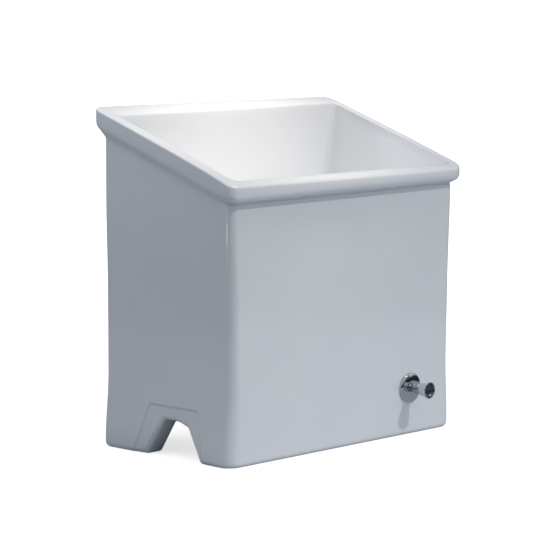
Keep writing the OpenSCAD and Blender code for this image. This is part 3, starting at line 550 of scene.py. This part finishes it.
def fireclay_rings():
    """The sink's section as rings with the material of the strip that follows each.

    They run from the foot up the outside, over the rim, down the basin, through the drain hole and back
    down inside.
    """
    rings = []

    def add(points, finish=GLAZED):
        rings.append((points, finish))

    for sine, cosine in quarter(5):
        points = outer_wall(level(FOOT_R * (1 - sine)), 1)
        for p in points:
            shrink = FOOT_R * (1 - cosine)
            in_x = smooth_step(abs(p.x), *(WALL_X - inward for inward in FOOT_FADE_X))
            in_y = smooth_step(abs(p.y), *(WALL_BACK - inward for inward in FOOT_FADE_Y))
            p.x -= math.copysign(shrink * in_x, p.x)
            p.y -= math.copysign(shrink * in_y, p.y)
        add(points)
    rings.reverse()
    # The rows up to the border's top are even, then crowd over its step
    rows = [FOOT_R + (BORDER_H - 5 - FOOT_R) * i / LOW_ROWS for i in range(1, LOW_ROWS + 1)]
    rows += [BORDER_H - share * BORDER_STEP_W for share in (1, 0.67, 0.33, 0, -0.6, -1.6, -3.2, -5)]
    rows.append(BORDER_CLEAR_Z)
    for z in rows:
        add(outer_wall(level(z), 1 - LOW_PART_FADE * z / BORDER_CLEAR_Z))
    wall_end = sloping(COVE_SIDE[0][1] + WALL_END_GAP)
    for i in range(1, WALL_ROWS + 1):
        share = i / WALL_ROWS
        add(outer_wall(between(level(BORDER_CLEAR_Z), wall_end, share), (1 - LOW_PART_FADE) * (1 - share)))
    for front, side in zip(COVE_FRONT, COVE_SIDE):
        tilted = [p + Vector((0, 0, CREASE_TILT * p.x / WALL_X)) for p in proud_ring(*front)]
        add(front_and_side(tilted, proud_ring(*side)))
    for sine, cosine in quarter(8):
        front, side = (proud_ring(SIDE_OVERHANG - inward * (1 - cosine), down * (1 - sine))
                       for inward, down in (EDGE_FRONT, EDGE_SIDE))
        rolled = [b.lerp(a, 1 - smooth_step(b.x, WALL_X - EDGE_FADE, WALL_X)) for a, b in zip(front, side)]
        add(front_and_side(rolled, side))
    for sine, cosine in quarter(5):
        add(opening_ring(OPENING_LIP * (1 - sine), OPENING_LIP * (1 - cosine)))
    for i in range(1, BASIN_ROWS + 1):
        add(basin_ring(i / BASIN_ROWS, 0))
    for sine, cosine in quarter(8)[1:]:
        inset = FLOOR_INSET * (1 - cosine)
        add(ring(BASIN_X - inset, BASIN_FRONT + inset, BASIN_BACK - inset, BASIN_CORNERS,
                 level(FLOOR_Z + FLOOR_ROUND * (1 - sine))))
    floor_edge = rings[-1][0]
    for share in (0.15, 0.35, 0.6, 0.85):
        circle = round_ring(RECESS_R + 1, FLOOR_Z, floor_edge)
        add([a.lerp(b, share) for a, b in zip(floor_edge, circle)])
    for radius, z in ((RECESS_R + 1, FLOOR_Z), (RECESS_R + 0.3, FLOOR_Z - 0.3), (RECESS_R, FLOOR_Z - 1),
                      (RECESS_R, RECESS_Z + 0.5), (RECESS_R - 0.5, RECESS_Z), (WASTE_HOLE_R + 0.8, RECESS_Z)):
        add(round_ring(radius, z, floor_edge))
    under_z = FLOOR_Z - FLOOR_T
    for radius, z in ((WASTE_HOLE_R, RECESS_Z - 0.8), (WASTE_HOLE_R, under_z + 0.8),
                      (WASTE_HOLE_R + 0.8, under_z)):
        add(round_ring(radius, z, floor_edge), WASHED)
    inset = FLOOR_INSET - BASIN_T * 0.4
    shell_edge = ring(BASIN_X - inset, BASIN_FRONT + inset, BASIN_BACK - inset, BASIN_CORNERS,
                      level(under_z))
    circle = round_ring(WASTE_HOLE_R + 0.8, under_z, floor_edge)
    for share in (0.3, 0.6, 1):
        add([a.lerp(b, share) for a, b in zip(circle, shell_edge)], WASHED)
    for sine, cosine in quarter(5)[1:]:
        out = (inset + BASIN_T) * sine - inset
        corners = tuple(r + BASIN_T * sine for r in BASIN_CORNERS)
        add(ring(BASIN_X + out, BASIN_FRONT - out, BASIN_BACK + out, corners,
                 level(under_z + (FLOOR_ROUND + FLOOR_T) * (1 - cosine))), WASHED)
    # The basin's outside runs up until it meets the pedestal's inner wall, and the two close in a trough
    trough = [meeting_share(i) for i in range(len(floor_edge))]
    for step in (0.25, 0.5, 0.75, 1):
        add([basin_ring(1 - (1 - meet) * step, BASIN_T)[i] for i, meet in enumerate(trough)], WASHED)
    top = rings[-1][0]
    low = inner_wall(level(BORDER_CLEAR_Z), 0)
    for share in (0.12, 0.3, 0.5, 0.75):
        across = smooth_step(share, 0, 0.5)
        add([Vector((a.x + (b.x - a.x) * across, a.y + (b.y - a.y) * across, a.z + (b.z - a.z) * share))
             for a, b in zip(top, low)], WASHED)
    for i in range(INNER_ROWS):
        add(inner_wall(level(BORDER_CLEAR_Z - (BORDER_CLEAR_Z - 4) * i / (INNER_ROWS - 1)), 0), WASHED)
    # The foot's inner edge is wiped bare before the firing
    add(inner_wall(level(1), -1.2), BARE)
    add(inner_wall(level(0), -3.5), BARE)
    return rings


def mesh_object(name, vertices, faces, finishes, materials):
    """A mesh object from points in millimetres, with the material's index of each face."""
    mesh = bpy.data.meshes.new(name)
    mesh.from_pydata([Vector(v) * MM for v in vertices], [], faces)
    for material in materials:
        mesh.materials.append(material)
    for polygon, finish in zip(mesh.polygons, finishes):
        polygon.material_index = finish
    obj = bpy.data.objects.new(name, mesh)
    bpy.context.scene.collection.objects.link(obj)
    return obj


def recalculate(obj):
    """Turns a closed mesh's faces outward."""
    work = bmesh.new()
    work.from_mesh(obj.data)
    bmesh.ops.recalc_face_normals(work, faces=work.faces)
    work.to_mesh(obj.data)
    work.free()


def shade(obj, angle_deg):
    """Smooth shading that keeps edges sharper than the angle."""
    obj.data.shade_smooth()
    obj.data.set_sharp_from_angle(angle=math.radians(angle_deg))


def closed_loft(name, rings, materials):
    """A closed skin through rings of equal length, whose last ring joins the first."""
    count = len(rings[0][0])
    vertices = [p for points, _ in rings for p in points]
    faces = []
    finishes = []
    for k, (_, finish) in enumerate(rings):
        a = k * count
        b = (k + 1) % len(rings) * count
        for i in range(count):
            j = (i + 1) % count
            faces.append((a + i, a + j, b + j, b + i))
            finishes.append(finish)
    obj = mesh_object(name, vertices, faces, finishes, materials)
    recalculate(obj)
    return obj


def rounded_path(corners):
    """A closed outline through corners (y, z, r), each rounded by its own radius."""
    path = []
    for i, (y, z, r) in enumerate(corners):
        here = Vector((y, z))
        before = (Vector(corners[i - 1][:2]) - here).normalized()
        after = (Vector(corners[(i + 1) % len(corners)][:2]) - here).normalized()
        half = before.angle(after) / 2
        if r == 0:
            path.append(here)
            continue
        reach = r / math.tan(half)
        centre = here + (before + after).normalized() * (r / math.sin(half))
        start = here + before * reach - centre
        end = here + after * reach - centre
        turn = start.angle_signed(end)
        for k in range(9):
            a = -turn * k / 8
            path.append(centre + Vector((start.x * math.cos(a) - start.y * math.sin(a),
                                         start.x * math.sin(a) + start.y * math.cos(a))))
    return path


def grown(path, amount):
    """A closed outline moved outward by an amount."""
    result = []
    for i, p in enumerate(path):
        along = (path[(i + 1) % len(path)] - path[i - 1]).normalized()
        result.append(p + Vector((along.y, -along.x)) * amount)
    return result


def trumpet(name, path, stations, place):
    """A cutter through growing copies of an outline. place(y, z, s) puts an outline's point at a station."""
    vertices = []
    for s, growth in stations:
        vertices += [place(p.x, p.y, s) for p in grown(path, growth)]
    count = len(path)
    faces = [tuple(range(count)), tuple(reversed(range(count * (len(stations) - 1), count * len(stations))))]
    for k in range(len(stations) - 1):
        for i in range(count):
            j = (i + 1) % count
            faces.append((k * count + i, (k + 1) * count + i, (k + 1) * count + j, k * count + j))
    obj = mesh_object(name, vertices, faces, [0] * len(faces), [])
    recalculate(obj)
    return obj


def carve(obj, cutters):
    """Cuts closed meshes out of an object, and deletes them."""
    for cutter in cutters:
        boolean = obj.modifiers.new("cut", "BOOLEAN")
        boolean.operation = "DIFFERENCE"
        boolean.solver = "EXACT"
        boolean.object = cutter
    graph = bpy.context.evaluated_depsgraph_get()
    mesh = bpy.data.meshes.new_from_object(obj.evaluated_get(graph))
    obj.modifiers.clear()
    obj.data = mesh
    for cutter in cutters:
        bpy.data.objects.remove(cutter)


def rounded_mouths(near, far, near_r, far_r):
    """Stations of a cutter from one face of a wall to the other, with both mouths rounded."""
    sign = 1 if far > near else -1
    stations = [(near - sign * OVERRUN, near_r)]
    stations += [(near + sign * near_r * (1 - c), near_r * (1 - s)) for s, c in
                 [(math.sin(math.radians(a)), math.cos(math.radians(a))) for a in (12, 25, 40, 55, 70, 90)]]
    stations += [(far - sign * far_r * (1 - c), far_r * (1 - s)) for s, c in
                 [(math.sin(math.radians(a)), math.cos(math.radians(a))) for a in (90, 65, 40, 15)]]
    stations.append((far + sign * OVERRUN, far_r))
    return stations


def fireclay_sink():
    """The fired body, with its notches, back opening and knob hole."""
    body = closed_loft("fireclay_sink", fireclay_rings(), FIRECLAY)
    cutters = []
    front_foot, back_foot = (WALL_FRONT + depth for depth in NOTCH_FOOT)
    notch = rounded_path([
        (front_foot - NOTCH_SPLAY, CUT_BELOW, 0),
        (back_foot + NOTCH_SPLAY, CUT_BELOW, 0),
        (back_foot + NOTCH_SPLAY, -2, 0),
        (back_foot, -1, NOTCH_FOOT_R),
        *((WALL_FRONT + depth, z, r) for depth, z, r in NOTCH_ARCH),
        (front_foot, -1, NOTCH_FOOT_R),
        (front_foot - NOTCH_SPLAY, -2, 0)])

    def through_side(side):
        """Puts a cutter's points between the leaning border, at 0, and the wall's flat inner face, at 1."""
        inner = WALL_X - NOTCH_WALL_T

        def place(y, z, share):
            face = WALL_X - wall_draw(z) - BORDER_STEP - BORDER_LEAN
            return (side * (face + (inner - face) * share), y, z)

        return place

    stations = [(s / NOTCH_WALL_T, growth) for s, growth in rounded_mouths(0, NOTCH_WALL_T, *NOTCH_MOUTHS)]
    for side in (-1, 1):
        cutters.append(trumpet("notch_cutter", notch, stations, through_side(side)))
    opening = rounded_path([(-BACK_OPEN_X, CUT_BELOW, 0), (BACK_OPEN_X, CUT_BELOW, 0),
                            (BACK_OPEN_X, BACK_OPEN_H, BACK_OPEN_R),
                            (-BACK_OPEN_X, BACK_OPEN_H, BACK_OPEN_R)])
    stations = rounded_mouths(WALL_BACK, WALL_BACK - WALL_T, *BACK_MOUTHS)
    cutters.append(trumpet("back_cutter", opening, stations, lambda x, z, s: (x, s, z)))
    knob_x, _, knob_z = (sum(c) / 2 / MM for c in zip(*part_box("through_bush")))
    sides = ROUND // 2
    circle = [Vector((KNOB_HOLE_R * math.cos(math.tau * i / sides),
                      KNOB_HOLE_R * math.sin(math.tau * i / sides))) for i in range(sides)]
    stations = [(WALL_FRONT - HOLE_OVERRUN, 0), (WALL_FRONT + WALL_T + HOLE_OVERRUN, 0)]
    cutters.append(trumpet("knob_cutter", circle, stations, lambda x, z, s: (knob_x + x, s, knob_z + z)))
    carve(body, cutters)
    shade(body, FIRED_EDGE_DEG)
    return body


def lathe(name, profile, segments, place, finishes, materials):
    """A turned piece from a profile of (radius, height) pairs, as a closed skin.

    place puts its points in space. finishes holds each strip's index of its material, or is None.
    """
    vertices = []
    for radius, height in profile:
        for i in range(segments):
            a = math.tau * i / segments
            vertices.append(place(radius * math.cos(a), radius * math.sin(a), height))
    faces = []
    colours = []
    count = len(profile)
    for k in range(count):
        a = k * segments
        b = (k + 1) % count * segments
        # Two points on the axis have no strip between them
        if profile[k][0] == 0 and profile[(k + 1) % count][0] == 0:
            continue
        for i in range(segments):
            j = (i + 1) % segments
            faces.append((a + i, a + j, b + j, b + i))
            colours.append(finishes[k] if finishes else 0)
    obj = mesh_object(name, vertices, faces, colours, materials)
    work = bmesh.new()
    work.from_mesh(obj.data)
    bmesh.ops.remove_doubles(work, verts=work.verts, dist=1e-6)
    bmesh.ops.recalc_face_normals(work, faces=work.faces)
    work.to_mesh(obj.data)
    work.free()
    return obj


def on_wall(node):
    """Puts a lathe's points on the knob's axis, with height running outward from a node's inner end."""
    low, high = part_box(node)
    x = (low.x + high.x) / 2 / MM
    z = (low.z + high.z) / 2 / MM
    start = high.y / MM
    return lambda u, v, h: (x + u, start - h, z + v)


def chrome_rosette():
    """A pressed and plated disc: a domed face, a bevelled edge and a turned-in rim round the spindle."""
    low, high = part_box("rosette")
    thick = (high.y - low.y) / MM
    radius = (high.x - low.x) / 2 / MM
    # The flat back and the upright edge
    profile = [(ROSETTE_HOLLOW_R, 0), (radius - 0.8, 0), (radius - 0.2, 0.3), (radius, 0.9), (radius, 2.0),
               (radius - 0.3, 2.6)]
    # The bevel, then a dome that rises slowly towards the middle
    profile += [(radius - 1.2, 3.3), (radius - 2.6, 4.0), (radius - 3.4, 4.3), (radius - 3.9, 4.42)]
    dome_steps = 9
    dome_end_r = 8.4
    for i in range(1, dome_steps + 1):
        share = i / dome_steps
        rise = (thick - ROSETTE_EDGE_H) * (1 - (1 - share) ** 2)
        profile.append(((radius - 4) * (1 - share) + dome_end_r * share, ROSETTE_EDGE_H + rise))
    # The turned-in rim, then back out to the hollow
    profile += [(7.2, thick), (6.2, thick - 0.2), (5.6, thick - 0.7), (5.35, thick - 1.5),
                (ROSETTE_BORE_R, thick - 2.4), (ROSETTE_HOLLOW_R, thick - 2.4)]
    obj = lathe("chrome_rosette", profile, ROUND, on_wall("rosette"), None, [MATERIALS["chrome"]])
    shade(obj, TURNED_EDGE_DEG)
    return obj


def chrome_knob():
    """A turned and plated pull: narrow behind, flared to its end, with a thin lip round a dished face."""
    low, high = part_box("knob")
    length = (high.y - low.y) / MM
    end_r = (high.x - low.x) / 2 / MM
    profile = [(KNOB_BORE_R, 0), (KNOB_BACK_R - 1, 0), (KNOB_BACK_R - 0.3, 0.25), (KNOB_BACK_R, 0.9)]
    flare_steps = 22
    for i in range(1, flare_steps + 1):
        share = i / flare_steps
        flare = (end_r - KNOB_BACK_R) * (0.5 * share + 0.5 * share * share)
        profile.append((KNOB_BACK_R + flare, 0.9 + (length - 2.4) * share))
    # The lip
    profile += [(end_r, length - 0.9), (end_r - 0.15, length - 0.4), (end_r - 0.5, length - 0.08),
                (end_r - 0.9, length), (end_r - 1.4, length - 0.05), (end_r - 1.8, length - 0.5),
                (end_r - KNOB_LIP_W, length - KNOB_LIP_H)]
    dish_steps = 12
    plated, dished = 0, 1
    # The strip after the dish runs down the axis and leaves no face, and the last two are the bore
    finishes = [plated] * (len(profile) - 1) + [dished] * (dish_steps + 1) + [plated] * 2
    for i in range(1, dish_steps + 1):
        turn = i / dish_steps * math.pi / 2
        profile.append(((end_r - KNOB_LIP_W) * math.cos(turn),
                        length - KNOB_LIP_H - (KNOB_DISH - KNOB_LIP_H) * math.sin(turn)))
    profile += [(0, KNOB_BORE_DEPTH), (KNOB_BORE_R, KNOB_BORE_DEPTH)]
    # The dish takes the chrome that is painted dark as shade inside its cup
    obj = lathe("chrome_knob", profile, ROUND, on_wall("knob"), finishes,
                [MATERIALS["chrome"], MATERIALS["dish"]])
    shade(obj, TURNED_EDGE_DEG)
    return obj


# The pale floor reaches to the horizon, and the grey one a little way round the sink
PALE_FLOOR_R = 400000
GREY_FLOOR_R = 1500
SUN_FAR = 3000


def round_floor(name, z, reach, material):
    """A flat disc for a floor, with rings that widen outward."""
    rings = 12
    segments = ROUND // 2
    vertices = [(0, 0, z)]
    for k in range(1, rings + 1):
        radius = reach * (k / rings) ** 4
        turns = [math.tau * i / segments for i in range(segments)]
        vertices += [(radius * math.cos(turn), radius * math.sin(turn), z) for turn in turns]
    faces = [(0, 1 + i, 1 + (i + 1) % segments) for i in range(segments)]
    for k in range(rings - 1):
        a = 1 + k * segments
        b = a + segments
        for i in range(segments):
            j = (i + 1) % segments
            faces.append((a + i, b + i, b + j, a + j))
    floor = mesh_object(name, vertices, faces, [0] * len(faces), [material])
    return floor


def floor_material(name, dark, light, glow):
    """A rolled and matt studio floor with a very faint mottle."""
    material, tree, shader, point = new_material(name, IOR=1.45, Roughness=0.85, Emission_Strength=glow)
    mottle = add_node(tree, "ShaderNodeTexNoise", {"Vector": point, "Scale": 1 / 900, "Detail": 2.0})
    tone = add_node(tree, "ShaderNodeMix", {"Factor": mottle.outputs["Fac"], 6: srgb(dark), 7: srgb(light)},
                    data_type="RGBA")
    tree.links.new(tone.outputs[2], shader.inputs["Base Color"])
    return material


def studio_floor():
    """The pale floor, which glows a little, and a grey one just under it that the camera doesn't see.

    Of the two, the sink is lit by the grey one alone and mirrors only that. So its walls stay as grey as
    they are in the photograph.
    """
    pale_material = floor_material("pale_floor", "f4f4f4", "fafafa", 0.68)
    pale = round_floor("studio_floor", 0, PALE_FLOOR_R, pale_material)
    pale.visible_diffuse = False
    pale.visible_glossy = False
    pale.visible_shadow = False
    grey_material = floor_material("grey_floor", "a8aeb6", "b0b6be", 0)
    grey = round_floor("grey_floor", -0.5, GREY_FLOOR_R, grey_material)
    grey.visible_camera = False


def aimed(obj, at, aim):
    """Places an object in millimetres and turns its -Z towards a point."""
    obj.location = Vector(at) * MM
    obj.rotation_euler = (Vector(aim) - Vector(at)).to_track_quat("-Z", "Y").to_euler()
    bpy.context.scene.collection.objects.link(obj)


def sun(name, travels, strength, angle_deg, colour):
    """A distant light that shines along a direction."""
    light = bpy.data.lights.new(name, "SUN")
    light.energy = strength
    light.angle = math.radians(angle_deg)
    light.color = srgb(colour)[:3]
    far = -Vector(travels).normalized() * SUN_FAR
    aimed(bpy.data.objects.new(name, light), far, (0, 0, 0))


def softbox(name, at, aim, width, height, watts, spread_deg, colour):
    """A rectangular light that the camera doesn't see. A spread under 180 is a grid on its front."""
    light = bpy.data.lights.new(name, "AREA")
    light.shape = "RECTANGLE"
    light.size = width * MM
    light.size_y = height * MM
    light.energy = watts
    light.spread = math.radians(spread_deg)
    light.color = srgb(colour)[:3]
    obj = bpy.data.objects.new(name, light)
    obj.visible_camera = False
    aimed(obj, at, aim)
    return obj


def studio_lights():
    """A key from the front, two lights over the basin, a panel on each side, a strip near the floor in
    front, and a small light that only shows as a glint down the nearest corner.

    Their strengths and places were fitted to the photograph's tones.
    """
    sun("key_light", (-13, 40, -50), 0.9, 3, "fdfdff")
    softbox("basin_light", (90, -150, 1000), (-10, 90, 360), 450, 300, 0.42, 50, "fff4e9")
    softbox("basin_left", (150, -150, 1000), (-110, 95, 380), 300, 300, 0.13, 45, "fff4e9")
    softbox("left_panel", (-730, 220, 900), (-255, 20, 400), 750, 300, 1.3, 180, "e8f2ff")
    softbox("right_panel", (1300, -950, 600), (60, -139, 260), 700, 600, 0.5, 180, "e4efff")
    low = softbox("low_strip", (200, -1300, 40), (60, -139, 350), 1400, 60, 2.5, 180, "f2f7ff")
    low.visible_glossy = False
    corner = softbox("corner_light", (-1445, 366, 160), (-255, -139, 330), 260, 60, 0.3, 180, "ffffff")
    corner.visible_diffuse = False


def studio_world():
    """Dark walls all round, and a paler ceiling that fills the shadows."""
    world = bpy.data.worlds.new("studio")
    world.use_nodes = True
    tree = world.node_tree
    place = add_node(tree, "ShaderNodeTexCoord")
    direction = add_node(tree, "ShaderNodeSeparateXYZ", {"Vector": place.outputs["Generated"]})
    height = add_node(tree, "ShaderNodeMapRange", {"Value": direction.outputs["Z"], "From Min": 0.1,
                                                   "From Max": 0.4})
    tone = add_node(tree, "ShaderNodeMix", {"Factor": height.outputs["Result"], 6: srgb("282c32"),
                                            7: srgb("b2b4b7")}, data_type="RGBA")
    tree.links.new(tone.outputs[2], tree.nodes["Background"].inputs["Color"])
    bpy.context.scene.world = world


def camera():
    """The photograph's camera."""
    data = bpy.data.cameras.new("camera")
    data.lens = LENS_MM
    data.sensor_width = SENSOR_MM
    data.clip_end = CLIP_END_M
    obj = bpy.data.objects.new("camera", data)
    aimed(obj, CAMERA_AT, CAMERA_AIM)
    obj.rotation_euler.rotate_axis("Z", math.radians(CAMERA_ROLL_DEG))
    bpy.context.scene.camera = obj


camera()
studio_floor()
studio_world()
studio_lights()

body = fireclay_sink()
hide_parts("basin", "pedestal")
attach(body, "sink")

rosette = chrome_rosette()
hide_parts("rosette")
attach(rosette, "sink")

knob = chrome_knob()
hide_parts("knob")
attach(knob, "pull")

# The other solids keep their shapes and get their finishes. The fireclay has none in the table, because the
# sink's skin replaces both of its solids.
for part in frame["record"]["subparts"]:
    node = frame["nodes"][part["node"]]
    finish = MATERIALS.get(part["material_slot"])
    if finish:
        node.data.materials.clear()
        node.data.materials.append(finish)

bpy.context.scene.view_settings.view_transform = "Standard"
